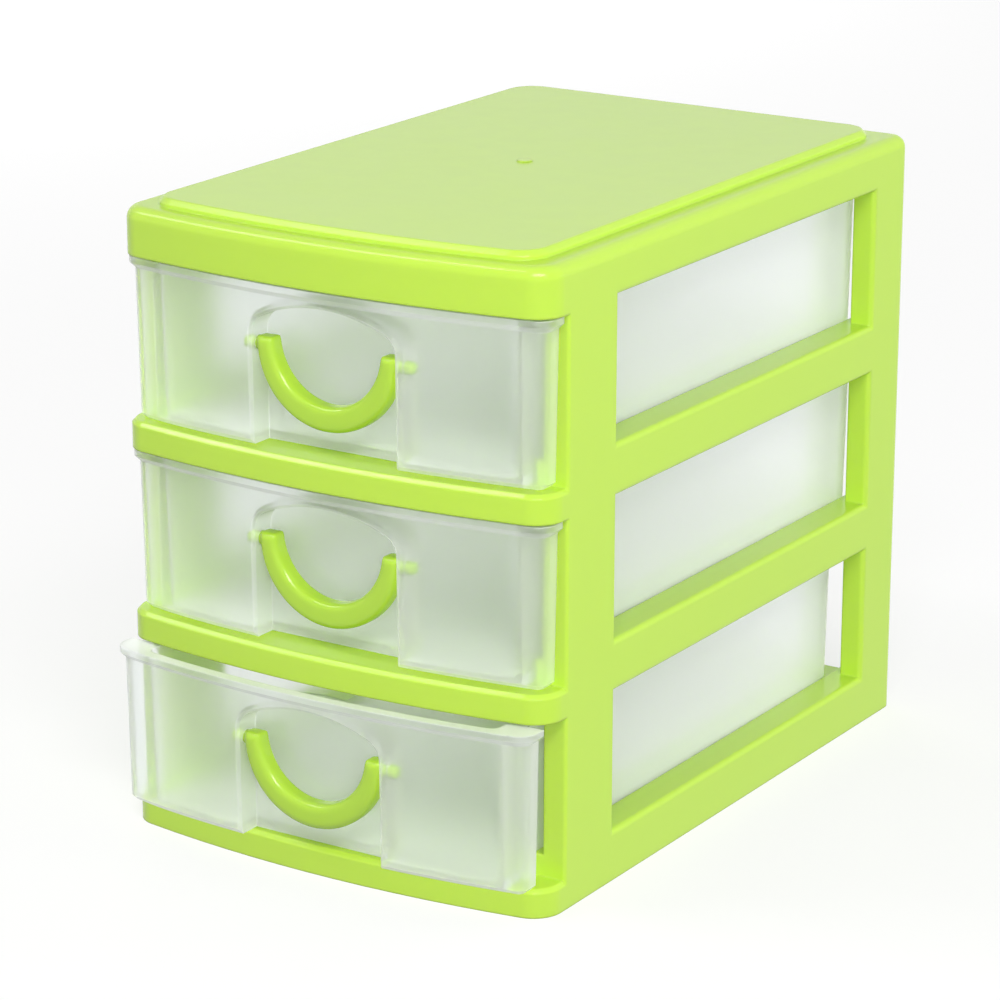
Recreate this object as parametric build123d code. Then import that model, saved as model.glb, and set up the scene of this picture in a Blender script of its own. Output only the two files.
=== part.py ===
"""Mini desktop tower: one moulded cabinet, three drawers that slide, and a swing handle on each drawer.

Millimetres. X is the width, -Y the front, +Z up. The origin is on the table, below the middle of the box that
the tower fills at rest, with its bottom drawer a little open.
"""
from build123d import *
from math import radians, sqrt, tan
import os

# Cabinet: overall sizes
cabinet_width = 135.0
cabinet_depth = 203.4            # front of the bowed lips to the open back
cabinet_height = 176.4           # table to the top of the platform
bow_radius = 365.0               # plan radius of the bowed front
front_corner_radius = 8.5
back_corner_radius = 5.0
level_names = ("bottom", "middle", "top")
top_band_height = 13.2
top_edge_radius = 3.6

# Cabinet: shelves, side frames and windows
floor_height = 8.0               # shelf floor above the underside of its front lip
plate_thickness = 2.4
lip_thickness = 2.6
lip_edge_chamfer = 1.1
frame_thickness = 6.8            # side frame, seen in the window reveals
post_setback = 15.6              # front of the lips to the front face of the front posts
post_edge_radius = 0.9
front_post_width = 24.4
back_post_width = 21.6
runner_height = 6.2              # runner above the shelf floor, level with the window sill
runner_width = 2.9               # runner inside the side frame

# Cabinet: stacking platform on the top
platform_height = 2.4
platform_side_inset = 7.4
platform_front_inset = 5.6
platform_back_inset = 7.0
platform_corner_radius = 9.0
platform_edge_chamfer = 1.4
gate_mark_radius = 2.2
gate_mark_height = 0.35

# Drawer: body and apron
side_clearance = 0.8             # drawer body to runner, each side
running_clearance = 0.3          # drawer bottom to shelf floor
stop_clearance = 0.8             # apron to post when closed
rim_clearance = 0.6              # rim to the shelf above
drawer_back_gap = 10.8           # drawer back to cabinet back when closed
drawer_wall = 1.7
drawer_floor = 2.0
draft_angle = 1.0
apron_setback = 3.3              # lips to the foot of the drawer front, on the middle line
apron_side_inset = 3.3           # cabinet side to the foot of the apron
apron_corner_radius = 3.0
apron_foot_chamfer = 1.3
inner_front_radius = 3.0
body_back_radius = 7.0
rim_height = 1.7
rim_flare = 1.5
body_rim_flare = 1.3

# Drawer: finger recess
recess_half_width = 22.5
recess_depth = 8.1
recess_crown_drop = 4.9          # top of the drawer to the crown of the arch
recess_bow_radius = 45.0         # radius of the arch
recess_corner_radius = 6.0
recess_edge_chamfer = 0.8

# Handle
handle_side_clearance = 0.6
handle_front_inset = 1.7
handle_depth = 5.6
handle_peg_depth = 3.2           # front of the handle to the peg axis
handle_arm_width = 5.0
handle_bottom_width = 7.0
handle_foot_height = 6.3         # foot of the drawer to the foot of the handle
handle_top_above_peg = 2.3
handle_front_chamfer = 1.2
peg_radius = 1.9
peg_running_clearance = 0.08
peg_below_crown = 12.7           # crown of the arch to the peg axis
peg_beyond_wall = 2.2

# Rest pose: how far each drawer stands open
drawer_open = {"bottom": 8.6, "middle": 0.0, "top": 0.0}

# Working margins
overrun = 5.0                    # how far a cutting shape runs past the face it cuts
pick = 0.01                      # how closely an edge or a corner is picked by its place

# Places that several pieces share
half_width = cabinet_width / 2
frame_inner = half_width - frame_thickness
runner_inner = frame_inner - runner_width
top_z = cabinet_height - platform_height
level_pitch = (top_z - top_band_height) / len(level_names)  # underside of one shelf to the next
drawer_foot = floor_height + running_clearance
drawer_height = level_pitch - rim_clearance - drawer_foot
rim_z = drawer_height - rim_height
recess_crown_height = drawer_height - recess_crown_drop
peg_height = recess_crown_height - peg_below_crown
handle_drop = peg_height - handle_foot_height
flare = tan(radians(draft_angle))
rim_setback = apron_setback - rim_flare - flare * rim_z
rest_overhang = max(0.0, max(drawer_open.values()) - rim_setback)
back_y = (cabinet_depth + rest_overhang) / 2
front_y = back_y - cabinet_depth
post_y = front_y + post_setback


def bow_sag(half, radius):
    """Depth of the bowed front over a given half width."""
    return radius - sqrt(radius**2 - half**2)


def bowed_plan(half, y_front, y_back, radius, r_front, r_back):
    """Plan face with straight sides and back, a front bowed on an arc, and rounded corners."""
    y_corner = y_front + bow_sag(half, radius)
    arc = ThreePointArc((-half, y_corner), (0, y_front), (half, y_corner))
    rest = Polyline((half, y_corner), (half, y_back), (-half, y_back), (-half, y_corner))
    face = make_face([arc, *rest.edges()])
    if r_back:
        face = fillet(face.vertices().group_by(Axis.Y)[-1], r_back)
    if r_front:
        face = fillet([v for v in face.vertices() if abs(v.Y - y_corner) < pick], r_front)
    return face


def at_height(face, z):
    return Pos(0, 0, z) * face


def block(x0, x1, y0, y1, z0, z1):
    """Plain box between two corners."""
    return Pos((x0 + x1) / 2, (y0 + y1) / 2, (z0 + z1) / 2) * Box(x1 - x0, y1 - y0, z1 - z0)


# Side frames: a post at each end, a sill above every floor, and a window at each level
window_front = post_y + front_post_width
window_back = back_y - back_post_width
bar = make_face(Polyline((frame_inner, post_y), (half_width, post_y), (half_width, back_y),
                         (frame_inner, back_y), close=True))
bar = fillet(bar.vertices().group_by(Axis.X)[-1].sort_by(Axis.Y)[:1], post_edge_radius)
bar = fillet(bar.vertices().group_by(Axis.Y)[-1].sort_by(Axis.X)[-1:], back_corner_radius)
side_frame = extrude(bar, top_z - top_band_height / 2)
for level in range(len(level_names)):
    sill_z = level * level_pitch + floor_height + runner_height
    head_z = (level + 1) * level_pitch
    opening = Rectangle(window_back - window_front, head_z - sill_z)
    outer_plane = Plane((half_width, (window_front + window_back) / 2, (sill_z + head_z) / 2),
                        x_dir=(0, 1, 0), z_dir=(1, 0, 0))
    side_frame -= extrude(outer_plane * opening, -frame_thickness - overrun)

# Base, shelves and top: slabs of the same bowed outline, hollow below, with a lip along the front
outline = bowed_plan(half_width, front_y, back_y, bow_radius, front_corner_radius, back_corner_radius)
hollow_front = front_y + lip_thickness
hollow_bow = bow_radius - lip_thickness
foot_hollow = bowed_plan(frame_inner, hollow_front, back_y - lip_thickness, hollow_bow, lip_thickness,
                         lip_thickness)
shelf_hollow = bowed_plan(frame_inner, hollow_front, back_y + overrun, hollow_bow, lip_thickness, 0)
cabinet = side_frame + mirror(side_frame, Plane.YZ)
for level in range(len(level_names) + 1):
    foot_z = level * level_pitch
    is_top = level == len(level_names)
    slab_z = top_z if is_top else foot_z + floor_height
    slab = extrude(at_height(outline, foot_z), slab_z - foot_z)
    upper = slab.faces().sort_by(Axis.Z)[-1].edges()
    slab = fillet(upper, top_edge_radius) if is_top else chamfer(upper, lip_edge_chamfer)
    hollow = shelf_hollow if level else foot_hollow
    slab -= extrude(at_height(hollow, foot_z), slab_z - plate_thickness - foot_z)
    cabinet += slab

# Runners: a rib inside each side frame, level with the window sills, that guides the drawer
for level in range(len(level_names)):
    floor_z = level * level_pitch + floor_height
    for side in (-1, 1):
        inner, outer = sorted((side * runner_inner, side * (frame_inner + frame_thickness / 2)))
        cabinet += block(inner, outer, post_y, back_y, floor_z - plate_thickness / 2, floor_z + runner_height)

# Stacking platform: a low step with a broken edge, bowed like the front and hollow below
platform_plan = bowed_plan(
    half_width - platform_side_inset, front_y + platform_front_inset, back_y - platform_back_inset,
    bow_radius - platform_front_inset, platform_corner_radius, platform_corner_radius)
platform_foot = top_z - plate_thickness / 2
platform = extrude(at_height(platform_plan, platform_foot), cabinet_height - platform_foot)
cabinet += chamfer(platform.faces().sort_by(Axis.Z)[-1].edges(), platform_edge_chamfer)
platform_hollow = bowed_plan(
    half_width - platform_side_inset - plate_thickness, front_y + platform_front_inset + plate_thickness,
    back_y - platform_back_inset - plate_thickness, bow_radius - platform_front_inset - plate_thickness,
    platform_corner_radius - plate_thickness, platform_corner_radius - plate_thickness)
cabinet -= extrude(at_height(platform_hollow, top_z - 2 * plate_thickness), plate_thickness + platform_height)

# Gate mark: the small round trace of the moulding gate in the middle of the top
cabinet += Pos(0, (front_y + back_y) / 2, cabinet_height) * Cylinder(
    gate_mark_radius, 2 * gate_mark_height)


def recess_profile(grow):
    """Front view of the finger recess: straight sides under a flat arch, open at the foot."""
    arch = bowed_plan(recess_half_width + grow, -recess_crown_height - grow, overrun,
                      recess_bow_radius + grow, recess_corner_radius + grow, 0)
    return Rot(0, 0, 180) * arch


def recess_solid(grow, y_back):
    """The recess carried forward out of the drawer front from its back wall."""
    back_plane = Plane((0, y_back, 0), x_dir=(1, 0, 0), z_dir=(0, -1, 0))
    return extrude(back_plane * recess_profile(grow), y_back - front_y + overrun)


# Places on a closed drawer, with the foot of the drawer at z = 0
apron_half = half_width - apron_side_inset
apron_front = front_y + apron_setback
apron_back = post_y - stop_clearance
apron_bow = bow_radius - apron_setback
body_half = runner_inner - side_clearance - flare * runner_height
body_back = back_y - drawer_back_gap
neck_z = rim_z - rim_flare
recess_back = apron_front + recess_depth
handle_half = recess_half_width - handle_side_clearance
peg_y = apron_front - flare * peg_height + handle_front_inset + handle_peg_depth


def apron_plan(z, grow, y_back):
    """Outline of the drawer front at a height, moved outwards by a margin."""
    out = flare * z + grow
    return at_height(bowed_plan(apron_half + out, apron_front - out, y_back, apron_bow + out,
                                apron_corner_radius + out, 0), z)


def body_plan(z, grow, y_front):
    """Outline of the drawer body behind its front, at a height, moved outwards by a margin."""
    out = flare * z + grow
    half = body_half + out
    face = make_face(Polyline((-half, y_front), (half, y_front), (half, body_back + out),
                              (-half, body_back + out), close=True))
    return at_height(fillet(face.vertices().group_by(Axis.Y)[-1], body_back_radius + out), z)


def inner_plan(z):
    """Outline of the drawer's inside at a height, one wall in from the front and the body."""
    out = flare * z - drawer_wall
    return at_height(bowed_plan(body_half + out, apron_front - out, body_back + out, apron_bow + out,
                                inner_front_radius, body_back_radius + out), z)


def make_drawer():
    """One drawer in the closed place, with the foot of its body at z = 0."""
    # front: flared by the draft, with a broken foot and a rim that turns out at the top
    front = loft([apron_plan(0, 0, apron_back), apron_plan(neck_z, 0, apron_back)], ruled=True)
    foot = front.faces().sort_by(Axis.Z)[0].edges()
    front = chamfer([e for e in foot if e.center().Y < apron_back - pick], apron_foot_chamfer)
    front += loft([apron_plan(neck_z, 0, apron_back), apron_plan(rim_z, rim_flare, apron_back)], ruled=True)
    front += extrude(apron_plan(rim_z, rim_flare, apron_back), rim_height)

    # body: a box with rounded back corners and a narrower rim along its sides and back
    start = apron_back - drawer_wall
    side_z = rim_z - body_rim_flare
    body = loft([body_plan(0, 0, start), body_plan(side_z, 0, start)], ruled=True)
    body += loft([body_plan(side_z, 0, start), body_plan(rim_z, body_rim_flare, start)], ruled=True)
    body += extrude(body_plan(rim_z, body_rim_flare, start), rim_height)
    outside = front + body

    # finger recess, with a broken edge where it meets the front
    outside -= recess_solid(0, recess_back)
    mouth_back = recess_back - recess_depth / 2
    mouth_edges = [e for e in outside.edges()
                   if all(abs(v.X) < recess_half_width + pick and v.Y < mouth_back for v in e.vertices())
                   and apron_foot_chamfer < e.center().Z < neck_z - pick]
    outside = chamfer(mouth_edges, recess_edge_chamfer)

    # inside: one wall thick everywhere, also round the recess
    inside = loft([inner_plan(drawer_floor), inner_plan(drawer_height + overrun)], ruled=True)
    inside -= recess_solid(drawer_wall, recess_back + drawer_wall)
    drawer = outside - inside

    # hollow behind each end of the front, open to the back and below
    ends = loft([apron_plan(-overrun, -drawer_wall, apron_back + overrun),
                 apron_plan(neck_z, -drawer_wall, apron_back + overrun)], ruled=True)
    body_outer = body_half + flare * drawer_height
    drawer -= ends - block(-body_outer, body_outer, front_y - overrun, back_y, -2 * overrun, level_pitch)

    # bearing holes for the handle's pegs, through both sides of the recess
    bearing = Cylinder(peg_radius + peg_running_clearance, 2 * (recess_half_width + drawer_wall + overrun))
    return drawer - Pos(0, peg_y, peg_height) * Rot(0, 90, 0) * bearing


def bail_face(half, foot):
    """A filled U: a foot on an arc of up to half a circle, and straight arms carried past the top."""
    shoulder = foot + min(half, handle_top_above_peg - foot)
    top = handle_top_above_peg + overrun
    arc = ThreePointArc((-half, shoulder), (0, foot), (half, shoulder))
    arms = Polyline((half, shoulder), (half, top), (-half, top), (-half, shoulder))
    return make_face([arc, *arms.edges()])


def make_handle():
    """One swing handle, hanging, with its peg axis at y = 0, z = 0."""
    outer = bail_face(handle_half, -handle_drop)
    inner = bail_face(handle_half - handle_arm_width, handle_bottom_width - handle_drop)
    below_top = Pos(0, handle_top_above_peg - level_pitch / 2) * Rectangle(cabinet_width, level_pitch)
    profile = (outer - inner) & below_top
    front_plane = Plane((0, -handle_peg_depth, 0), x_dir=(1, 0, 0), z_dir=(0, -1, 0))
    handle = extrude(front_plane * profile, -handle_depth)
    handle = chamfer(handle.faces().sort_by(Axis.Y)[0].edges(), handle_front_chamfer)
    peg_end = recess_half_width + drawer_wall + peg_beyond_wall
    for side in (-1, 1):
        inner, outer = sorted((side * (handle_half - handle_arm_width / 2), side * peg_end))
        handle += Pos((inner + outer) / 2, 0, 0) * Rot(0, 90, 0) * Cylinder(peg_radius, outer - inner)
    return handle


# The three levels: one drawer and one handle each, pulled forward by the rest pose
drawer = make_drawer()
handle = make_handle()
pieces = {"cabinet": cabinet}
for level, name in enumerate(level_names):
    foot_z = level * level_pitch + drawer_foot
    pulled = -drawer_open[name]
    pieces[f"drawer_{name}"] = Pos(0, pulled, foot_z) * drawer
    pieces[f"handle_{name}"] = Pos(0, pulled + peg_y, foot_z + peg_height) * handle

os.makedirs("parts", exist_ok=True)
for name, shape in pieces.items():
    export_step(shape, f"parts/{name}.step")
print(f"peg axis: y {peg_y:.4f} closed, z {drawer_foot + peg_height:.4f}, pitch {level_pitch:.4f}")
print(f"front {front_y:.4f}, back {back_y:.4f}, post {post_y:.4f}, top {cabinet_height:.4f}")
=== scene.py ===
import math

import bmesh
import bpy
from mathutils import Euler, Matrix, Vector


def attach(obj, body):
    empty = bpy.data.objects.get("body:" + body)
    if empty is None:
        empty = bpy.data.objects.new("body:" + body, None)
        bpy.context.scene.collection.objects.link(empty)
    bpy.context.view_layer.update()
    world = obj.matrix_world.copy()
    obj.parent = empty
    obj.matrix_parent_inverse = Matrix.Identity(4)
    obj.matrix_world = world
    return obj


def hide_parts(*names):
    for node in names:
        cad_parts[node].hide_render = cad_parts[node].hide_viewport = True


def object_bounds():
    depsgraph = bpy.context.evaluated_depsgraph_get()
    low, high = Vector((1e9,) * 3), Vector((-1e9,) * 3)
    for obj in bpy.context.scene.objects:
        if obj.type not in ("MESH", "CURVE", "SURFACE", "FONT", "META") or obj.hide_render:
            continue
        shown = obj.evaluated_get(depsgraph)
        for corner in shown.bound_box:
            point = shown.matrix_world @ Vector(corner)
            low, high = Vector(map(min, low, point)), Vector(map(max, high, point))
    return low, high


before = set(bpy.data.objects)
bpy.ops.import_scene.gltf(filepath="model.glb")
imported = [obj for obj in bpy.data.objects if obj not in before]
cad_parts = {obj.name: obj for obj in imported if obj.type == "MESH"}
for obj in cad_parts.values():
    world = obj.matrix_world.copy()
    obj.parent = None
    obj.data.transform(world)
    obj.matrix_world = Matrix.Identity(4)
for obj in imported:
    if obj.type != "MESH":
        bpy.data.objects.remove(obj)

cad_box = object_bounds()

# Cabinet: one injection moulding of lime polypropylene, four bowed slabs between two windowed side frames.
# The mould leaves every edge a little round: the window rims are rounded in the mesh, finer edges in the shading.
MM = 0.001
CABINET_LIME = "#BBDF48"
SATIN_ROUGHNESS = 0.21
CABINET_EDGE = 0.8 * MM
WINDOW_RIM = 1.5 * MM
WINDOW_RIM_STEPS = 5
WINDOWS_FRONT, WINDOWS_BACK = -80 * MM, 100 * MM
WINDOWS_LOW, WINDOWS_HIGH = 3 * MM, 165 * MM
OUTER_FACE_SLACK = 0.01 * MM
FLAT_ANGLE = math.radians(0.4)
CREASE_ANGLE = math.radians(24)
TOUCH = 0.001 * MM
PROPYLENE_IOR = 1.49
ROUNDING_SAMPLES = 6
FLOW_RIPPLE = 9 * MM
RIPPLE_HEIGHT = 0.2 * MM
RIPPLE_STRENGTH = 0.06
SHINE_SPREAD = 0.05
LIGHT_SHARE = 0.4
LIGHT_DEPTH = 1.5 * MM
LIGHT_REACH = (1.0, 1.0, 0.3)


def merged_copy(node):
    """The node's shape as a mesh to work on, its loose triangles joined up."""
    bm = bmesh.new()
    bm.from_mesh(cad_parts[node].data)
    bmesh.ops.remove_doubles(bm, verts=bm.verts, dist=TOUCH)
    return bm


def moulded_piece(bm, name):
    """A piece of this mesh, smooth except at its creases."""
    for face in bm.faces:
        face.smooth = True
    for edge in bm.edges:
        edge.smooth = edge.calc_face_angle(0) < CREASE_ANGLE
    mesh = bpy.data.meshes.new(name)
    bm.to_mesh(mesh)
    bm.free()
    piece = bpy.data.objects.new(name, mesh)
    bpy.context.collection.objects.link(piece)
    shading = piece.modifiers.new("flat faces stay flat", "WEIGHTED_NORMAL")
    shading.keep_sharp = True
    return piece


def linear(hex_colour):
    """Linear colour of an sRGB hex value."""
    parts = [int(hex_colour[i:i + 2], 16) / 255 for i in (1, 3, 5)]
    return [p / 12.92 if p <= 0.04045 else ((p + 0.055) / 1.055) ** 2.4 for p in parts] + [1.0]


def add(tree, kind, inputs=None, **settings):
    """Adds a node with its settings; an input is a value or another node's output."""
    node = tree.nodes.new(kind)
    for name, value in settings.items():
        setattr(node, name, value)
    for name, value in (inputs or {}).items():
        if isinstance(value, bpy.types.NodeSocket):
            tree.links.new(value, node.inputs[name])
        else:
            node.inputs[name].default_value = value
    return node


def new_material(name):
    """An empty node material and its tree."""
    material = bpy.data.materials.new(name)
    material.use_nodes = True
    material.node_tree.nodes.clear()
    return material, material.node_tree


def lime_polypropylene(name, colour, roughness, edge):
    """Polypropylene coloured lime all through, as it comes from the mould.

    To the eye it is bright and even, with a soft shine that wavers over the faint ripple that the flow leaves,
    about 9 mm long. A little light goes through the thin walls, red and green further than blue, so that its
    shadows stay green. Edges too fine for the mesh are rounded here.
    """
    material, tree = new_material(name)
    place = add(tree, "ShaderNodeTexCoord").outputs["Object"]
    ripple = add(tree, "ShaderNodeTexNoise", {"Vector": place, "Scale": 1 / FLOW_RIPPLE, "Detail": 2.0})
    rounding = add(tree, "ShaderNodeBevel", {"Radius": edge}, samples=ROUNDING_SAMPLES)
    skin = add(tree, "ShaderNodeBump", {
        "Height": ripple.outputs["Fac"], "Strength": RIPPLE_STRENGTH, "Distance": RIPPLE_HEIGHT,
        "Normal": rounding.outputs["Normal"]})
    shine = add(tree, "ShaderNodeMapRange", {
        "Value": ripple.outputs["Fac"], "To Min": roughness - SHINE_SPREAD, "To Max": roughness + SHINE_SPREAD})
    plastic = add(tree, "ShaderNodeBsdfPrincipled", {
        "Base Color": linear(colour), "Roughness": shine.outputs["Result"], "Normal": skin.outputs["Normal"],
        "IOR": PROPYLENE_IOR, "Subsurface Weight": LIGHT_SHARE, "Subsurface Radius": LIGHT_REACH,
        "Subsurface Scale": LIGHT_DEPTH})
    add(tree, "ShaderNodeOutputMaterial", {"Surface": plastic.outputs["BSDF"]})
    return material


bm = merged_copy("cabinet")
bmesh.ops.dissolve_limit(bm, angle_limit=FLAT_ANGLE, verts=bm.verts, edges=bm.edges)
outside = cad_box[1][0] - OUTER_FACE_SLACK
window_rims = [edge for edge in bm.edges if edge.calc_face_angle_signed(0) > CREASE_ANGLE
               and all(abs(corner.co.x) > outside and WINDOWS_FRONT < corner.co.y < WINDOWS_BACK
                       and WINDOWS_LOW < corner.co.z < WINDOWS_HIGH for corner in edge.verts)]
bmesh.ops.bevel(bm, geom=window_rims, offset=WINDOW_RIM, offset_type="OFFSET", segments=WINDOW_RIM_STEPS,
                profile=0.5, affect="EDGES", material=-1, clamp_overlap=False)
cabinet = moulded_piece(bm, "moulded_cabinet")
cabinet.data.materials.append(
    lime_polypropylene("moulded_lime_polypropylene", CABINET_LIME, SATIN_ROUGHNESS, CABINET_EDGE))
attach(cabinet, "cabinet")
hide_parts("cabinet")

# Drawers: three equal mouldings of natural polypropylene, thin-walled and clouded rather than clear.
# Each slides on its own runners; its bowed front has a turned-out rim and an arched finger recess.
LEVELS = ("bottom", "middle", "top")
DRAWER_WHITE = "#FCFEFF"
DRAWER_EDGE = 0.6 * MM
CLOUD_DRIFT = 14 * MM
CLOUDED_IOR = 1.16
LEAST_BLUR, MOST_BLUR = 0.48, 0.58
CLEAR_STRAIGHT_ON, CLEAR_AT_A_SLANT, CLEAR_AT_EDGES = 0.912, 0.35, 0.4
SLANT_BEGINS, SLANT_ENDS = 0.38, 0.72
BENT, FLAT = 0.9, 0.995
SKIN_SHARE, SKIN_ROUGHNESS = 0.8, 0.16
MANY_WALLS = 3.5
STRAIGHT_SHARE = 0.985


def rays_of(tree, *kinds):
    """One for rays of these kinds, and zero for all others."""
    ray = add(tree, "ShaderNodeLightPath")
    found = ray.outputs[kinds[0]]
    for kind in kinds[1:]:
        both = add(tree, "ShaderNodeMath", {0: found, 1: ray.outputs[kind]}, operation="MAXIMUM")
        found = both.outputs["Value"]
    return found


def natural_polypropylene(name):
    """Polypropylene without colour, as it comes from the mould: milky, under a clear and glossy skin.

    To the eye what lies behind is a soft shade. A slanting look goes through more of the wall, and a bend gathers
    light, so that floors and edges turn white. The clouded body bends light less than the skin does, hence its
    lower IOR. The cloud drifts over about 14 mm, much coarser than the real grain, which is too fine to show.
    """
    material, tree = new_material(name)
    place = add(tree, "ShaderNodeTexCoord").outputs["Object"]
    cloud = add(tree, "ShaderNodeTexNoise", {"Vector": place, "Scale": 1 / CLOUD_DRIFT, "Detail": 1.0})
    blur = add(tree, "ShaderNodeMapRange", {
        "Value": cloud.outputs["Fac"], "To Min": LEAST_BLUR, "To Max": MOST_BLUR})
    rounding = add(tree, "ShaderNodeBevel", {"Radius": DRAWER_EDGE}, samples=ROUNDING_SAMPLES)
    face = add(tree, "ShaderNodeNewGeometry")
    bend = add(tree, "ShaderNodeVectorMath", {0: rounding.outputs["Normal"], 1: face.outputs["Normal"]},
               operation="DOT_PRODUCT")
    flat = add(tree, "ShaderNodeMath", {0: bend.outputs["Value"]}, operation="ABSOLUTE")
    edges = add(tree, "ShaderNodeMapRange", {
        "Value": flat.outputs["Value"], "From Min": BENT, "From Max": FLAT,
        "To Min": CLEAR_AT_EDGES, "To Max": 1.0})
    slant = add(tree, "ShaderNodeLayerWeight", {"Blend": 0.5})
    walls = add(tree, "ShaderNodeMapRange", {
        "Value": slant.outputs["Facing"], "From Min": SLANT_BEGINS, "From Max": SLANT_ENDS,
        "To Min": CLEAR_STRAIGHT_ON, "To Max": CLEAR_AT_A_SLANT}, interpolation_type="SMOOTHSTEP")
    clearness = add(tree, "ShaderNodeMath", {0: edges.outputs["Result"], 1: walls.outputs["Result"]},
                    operation="MINIMUM")
    plastic = add(tree, "ShaderNodeBsdfPrincipled", {
        "Base Color": linear(DRAWER_WHITE), "Roughness": blur.outputs["Result"], "IOR": CLOUDED_IOR,
        "Normal": rounding.outputs["Normal"], "Transmission Weight": clearness.outputs["Value"],
        "Coat Weight": SKIN_SHARE, "Coat Roughness": SKIN_ROUGHNESS, "Coat IOR": PROPYLENE_IOR})
    # Light on its way into the bays goes nearly straight through, and so does a look through many walls.
    ray = add(tree, "ShaderNodeLightPath")
    deep = add(tree, "ShaderNodeMath", {0: ray.outputs["Ray Depth"], 1: MANY_WALLS}, operation="GREATER_THAN")
    straight = add(tree, "ShaderNodeMath", {
        0: rays_of(tree, "Is Shadow Ray", "Is Diffuse Ray"), 1: deep.outputs["Value"]}, operation="MAXIMUM")
    share = add(tree, "ShaderNodeMath", {0: straight.outputs["Value"], 1: STRAIGHT_SHARE}, operation="MULTIPLY")
    clear = add(tree, "ShaderNodeBsdfTransparent", {"Color": linear("#FFFFFF")})
    wall = add(tree, "ShaderNodeMixShader", {
        "Fac": share.outputs["Value"], 1: plastic.outputs["BSDF"], 2: clear.outputs["BSDF"]})
    add(tree, "ShaderNodeOutputMaterial", {"Surface": wall.outputs["Shader"]})
    return material


drawer_plastic = natural_polypropylene("moulded_natural_polypropylene")
for level in LEVELS:
    bm = merged_copy("drawer_" + level)
    drawer = moulded_piece(bm, "moulded_drawer_" + level)
    drawer.data.materials.append(drawer_plastic)
    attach(drawer, "drawer_" + level)
    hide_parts("drawer_" + level)

# Handles: a glossy lime U on two pegs, clicked into the sides of the finger recess, and free to swing.
# They are of the cabinet's plastic, from a polished mould that leaves no edge sharp.
HANDLE_LIME = "#ADD33E"
POLISHED_ROUGHNESS = 0.15
HANDLE_GRAIN = 0.3 * MM
HANDLE_SMOOTHING = 24


def polished_copy(node, name):
    """The node's shape with all its edges melted to a soft round, as on a polished handle."""
    bm = merged_copy(node)
    plain = moulded_piece(bm, name)
    skin = plain.modifiers.new("even skin", "REMESH")
    skin.mode = "VOXEL"
    skin.voxel_size = HANDLE_GRAIN
    bm = bmesh.new()
    bm.from_object(plain, bpy.context.evaluated_depsgraph_get())
    bpy.data.objects.remove(plain)
    for _ in range(HANDLE_SMOOTHING):
        bmesh.ops.smooth_vert(bm, verts=bm.verts, factor=0.5, use_axis_x=True, use_axis_y=True, use_axis_z=True)
    return bm


handle_plastic = lime_polypropylene("polished_lime_polypropylene", HANDLE_LIME, POLISHED_ROUGHNESS, HANDLE_GRAIN)
for level in LEVELS:
    bm = polished_copy("handle_" + level, "plain_handle_" + level)
    handle = moulded_piece(bm, "moulded_handle_" + level)
    handle.data.materials.append(handle_plastic)
    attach(handle, "handle_" + level)
    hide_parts("handle_" + level)

# Floor and backdrop: a plain white paper sweep, white to the camera, in gloss and through the drawers.
# It keeps a soft shadow of the part. Its own light on the part is a mid grey's, so that lips stay dark below.
FLOOR_REACH = 4.0
FLOOR_WHITE, FLOOR_GREY = 1.0, 0.19
GLOW_SEEN, GLOW_MIRRORED = 0.7, 0.985
SKY_LIGHT = 0.16
floor_mesh = bpy.data.meshes.new("floor")
bm = bmesh.new()
bmesh.ops.create_grid(bm, x_segments=1, y_segments=1, size=FLOOR_REACH)
bm.to_mesh(floor_mesh)
bm.free()
floor = bpy.data.objects.new("floor", floor_mesh)
bpy.context.collection.objects.link(floor)
paper, tree = new_material("white_paper_floor")
seen = rays_of(tree, "Is Camera Ray")
mirrored = rays_of(tree, "Is Glossy Ray", "Is Transmission Ray")
shade = add(tree, "ShaderNodeMapRange", {"Value": seen, "To Min": FLOOR_GREY, "To Max": FLOOR_WHITE})
matte = add(tree, "ShaderNodeBsdfDiffuse", {"Color": shade.outputs["Result"]})
glow = add(tree, "ShaderNodeEmission", {"Color": linear("#FFFFFF"), "Strength": 1.0})
seen_glow = add(tree, "ShaderNodeMath", {0: seen, 1: GLOW_SEEN}, operation="MULTIPLY")
mirrored_glow = add(tree, "ShaderNodeMath", {0: mirrored, 1: GLOW_MIRRORED}, operation="MULTIPLY")
share = add(tree, "ShaderNodeMath", {0: seen_glow.outputs["Value"], 1: mirrored_glow.outputs["Value"]},
            operation="MAXIMUM")
sheet = add(tree, "ShaderNodeMixShader", {
    "Fac": share.outputs["Value"], 1: matte.outputs["BSDF"], 2: glow.outputs["Emission"]})
add(tree, "ShaderNodeOutputMaterial", {"Surface": sheet.outputs["Shader"]})
floor_mesh.materials.append(paper)

world = bpy.data.worlds.new("studio")
bpy.context.scene.world = world
world.use_nodes = True
tree = world.node_tree
tree.nodes.clear()
seen = rays_of(tree, "Is Camera Ray", "Is Glossy Ray", "Is Transmission Ray")
strength = add(tree, "ShaderNodeMapRange", {"Value": seen, "To Min": SKY_LIGHT, "To Max": 1.0})
sky = add(tree, "ShaderNodeBackground", {"Color": linear("#FFFFFF"), "Strength": strength.outputs["Result"]})
add(tree, "ShaderNodeOutputWorld", {"Surface": sky.outputs["Background"]})

# Lamps: four big soft boxes, low round the object, light it evenly and aren't mirrored in it.
# Two strips above it give the plastic its shine, along the lips and on the handles.
LAMP_AIM = Vector((0, 0, 0.09))
BOX_WIDTH, BOX_HEIGHT = 1.0, 0.8


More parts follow.
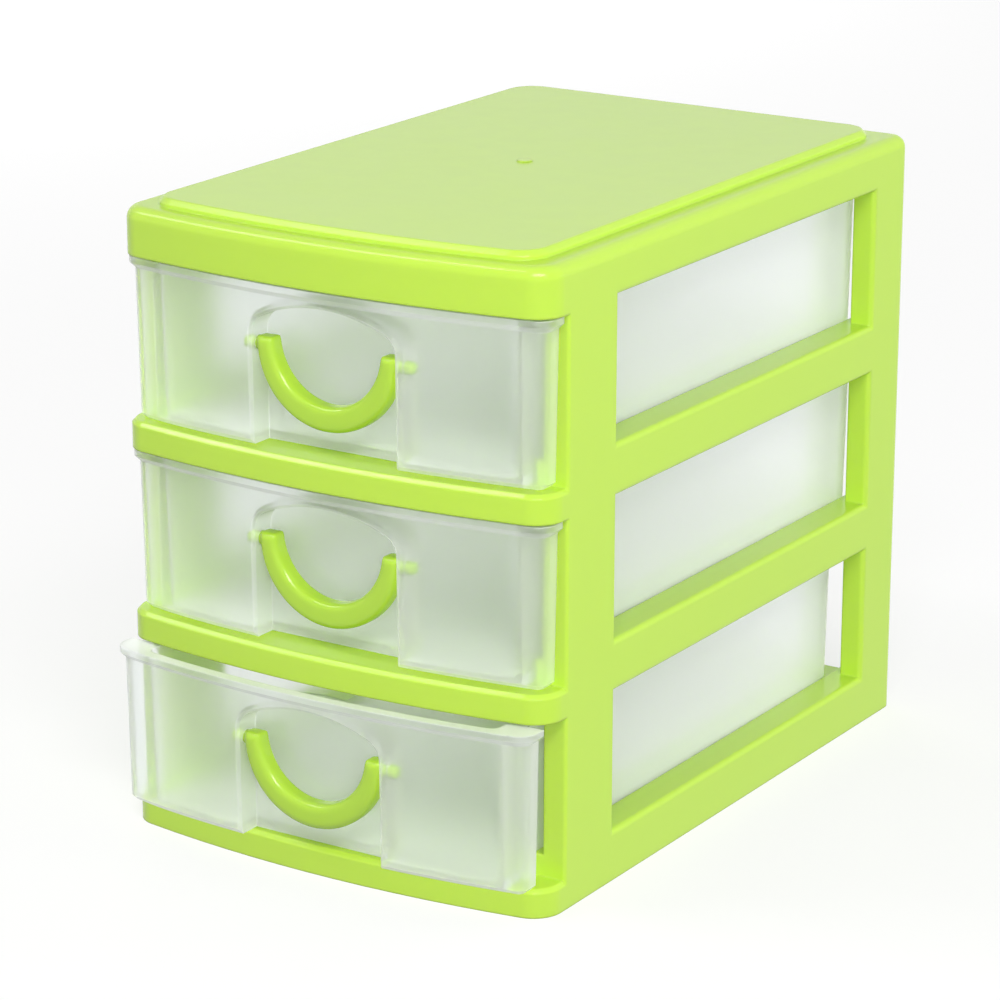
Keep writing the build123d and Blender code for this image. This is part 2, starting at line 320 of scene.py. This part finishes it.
def soft_lamp(name, place, width, height, watts, roll=0, mirrored=False):
    """A soft box that faces the object's middle, turned about that line by roll degrees."""
    light = bpy.data.lights.new(name, "AREA")
    light.shape = "RECTANGLE"
    light.size = width
    light.size_y = height
    light.energy = watts
    lamp = bpy.data.objects.new(name, light)
    facing = (LAMP_AIM - Vector(place)).to_track_quat("-Z", "Y").to_matrix().to_4x4()
    lamp.matrix_world = Matrix.Translation(place) @ facing @ Matrix.Rotation(math.radians(roll), 4, "Z")
    lamp.visible_glossy = mirrored
    lamp.visible_transmission = False
    bpy.context.collection.objects.link(lamp)


soft_lamp("key_softbox", (1.0, -1.1, 0.36), BOX_WIDTH, BOX_HEIGHT, watts=16)
soft_lamp("left_softbox", (-1.4, -0.7, 0.42), BOX_WIDTH, BOX_HEIGHT, watts=6)
soft_lamp("right_back_softbox", (0.9, 1.3, 0.34), BOX_WIDTH, BOX_HEIGHT, watts=15)
soft_lamp("left_back_softbox", (-1.2, 1.1, 0.34), BOX_WIDTH, BOX_HEIGHT, watts=12)
soft_lamp("left_strip_softbox", (-0.8, -0.5, 1.25), width=1.0, height=0.15, watts=4.5, roll=43, mirrored=True)
soft_lamp("right_strip_softbox", (0.75, -0.83, 1.18), width=0.9, height=0.3, watts=12, mirrored=True)

# Camera: a long lens, a little above the top, turned towards the right-hand corner, as in the photograph.
CAMERA_PLACE = (0.5561, -0.8816, 0.4013)
CAMERA_TURN = math.radians(32.494)
CAMERA_DIP = math.radians(17.146)
CAMERA_ROLL = math.radians(0.119)
SENSOR_WIDTH, LENS_LENGTH = 36, 139.38
camera_data = bpy.data.cameras.new("camera")
camera_data.sensor_width = SENSOR_WIDTH
camera_data.lens = LENS_LENGTH
camera = bpy.data.objects.new("camera", camera_data)
look = Euler((math.radians(90) - CAMERA_DIP, 0, CAMERA_TURN)).to_matrix().to_4x4()
camera.matrix_world = Matrix.Translation(CAMERA_PLACE) @ look @ Matrix.Rotation(CAMERA_ROLL, 4, "Z")
bpy.context.collection.objects.link(camera)
bpy.context.scene.camera = camera
bpy.context.scene.view_settings.view_transform = "Standard"
